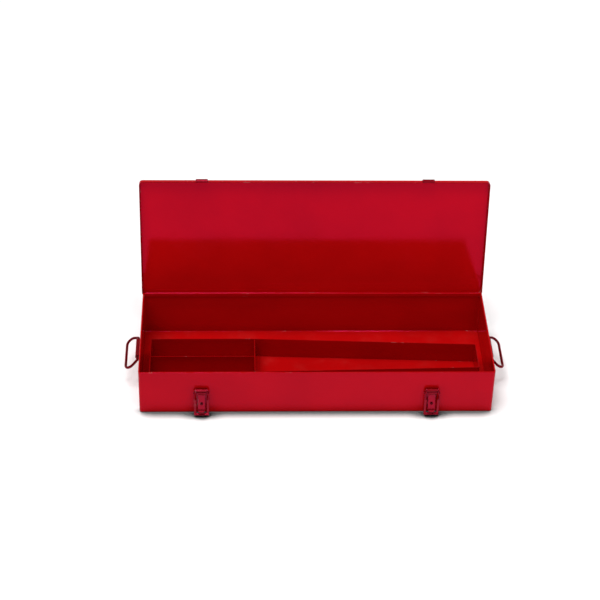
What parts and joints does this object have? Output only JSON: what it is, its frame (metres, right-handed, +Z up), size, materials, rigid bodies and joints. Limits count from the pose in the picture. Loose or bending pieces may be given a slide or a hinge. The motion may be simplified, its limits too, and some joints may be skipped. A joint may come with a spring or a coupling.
{
  "type": "steel toolbox with tray",
  "caption": "Long shallow painted steel toolbox with hinged lid, draw latches, wire bail handles and a tapered lift-out tray with dividers.",
  "frame": {"origin": "centre of the body's base, on the surface it stands on", "axes": "+X along the length to the right-hand end seen from the front, -Y out of the front panel with the latches, +Z up"},
  "size_m": [0.5828, 0.2507, 0.2704],
  "materials": {
    "red_paint": "gloss red enamel on sheet steel",
    "red_hardware": "gloss red enamel on pressed hardware and wire"
  },
  "bodies": {
    "case": {"body_pan": "red_paint", "hinge_body_leaf": "red_hardware", "hinge_pin": "red_hardware", "handle_bracket_left": "red_hardware", "handle_bracket_right": "red_hardware", "latch_base_left": "red_hardware", "latch_base_right": "red_hardware", "latch_rivet_lower_left": "red_hardware", "latch_rivet_lower_right": "red_hardware", "latch_rivet_upper_left": "red_hardware", "latch_rivet_upper_right": "red_hardware", "lever_pin_left": "red_hardware", "lever_pin_right": "red_hardware"},
    "lid": {"lid_pan": "red_paint", "hinge_lid_leaf": "red_hardware", "lid_strike_left": "red_hardware", "lid_strike_right": "red_hardware"},
    "tray": {"tray_pan": "red_paint", "tray_long_divider": "red_paint", "tray_cross_divider": "red_paint"},
    "left_lever": {"latch_lever_left": "red_hardware", "hook_pin_left": "red_hardware"},
    "left_hook": {"latch_hook_left": "red_hardware"},
    "left_bail": {"bail_left": "red_hardware"},
    "right_lever": {"latch_lever_right": "red_hardware", "hook_pin_right": "red_hardware"},
    "right_hook": {"latch_hook_right": "red_hardware"},
    "right_bail": {"bail_right": "red_hardware"}
  },
  "joints": [
    {"name": "lid_hinge", "type": "hinge", "parent": "case", "child": "lid", "pos_m": [0, 0.1005, 0.0668], "axis": [-1, 0, 0], "range_deg": [-97.2, 0]},
    {"name": "left_lever_hinge", "type": "hinge", "parent": "case", "child": "left_lever", "pos_m": [-0.1728, -0.1024, 0.046], "axis": [-1, 0, 0], "range_deg": [0, 150]},
    {"name": "left_hook_hinge", "type": "hinge", "parent": "left_lever", "child": "left_hook", "pos_m": [-0.1728, -0.102, 0.041], "axis": [1, 0, 0], "range_deg": [-156, 0]},
    {"name": "left_bail_hinge", "type": "hinge", "parent": "case", "child": "left_bail", "pos_m": [-0.2711, 0, 0.044], "axis": [0, 1, 0], "range_deg": [0, 110]},
    {"name": "right_lever_hinge", "type": "hinge", "parent": "case", "child": "right_lever", "pos_m": [0.1728, -0.1024, 0.046], "axis": [-1, 0, 0], "range_deg": [0, 150]},
    {"name": "right_hook_hinge", "type": "hinge", "parent": "right_lever", "child": "right_hook", "pos_m": [0.1728, -0.102, 0.041], "axis": [1, 0, 0], "range_deg": [-156, 0]},
    {"name": "right_bail_hinge", "type": "hinge", "parent": "case", "child": "right_bail", "pos_m": [0.2711, 0, 0.044], "axis": [0, -1, 0], "range_deg": [0, 110]},
    {"name": "tray_lift", "type": "slide", "parent": "case", "child": "tray", "axis": [0, 0, 1], "range_m": [0, 0.1]}
  ]
}
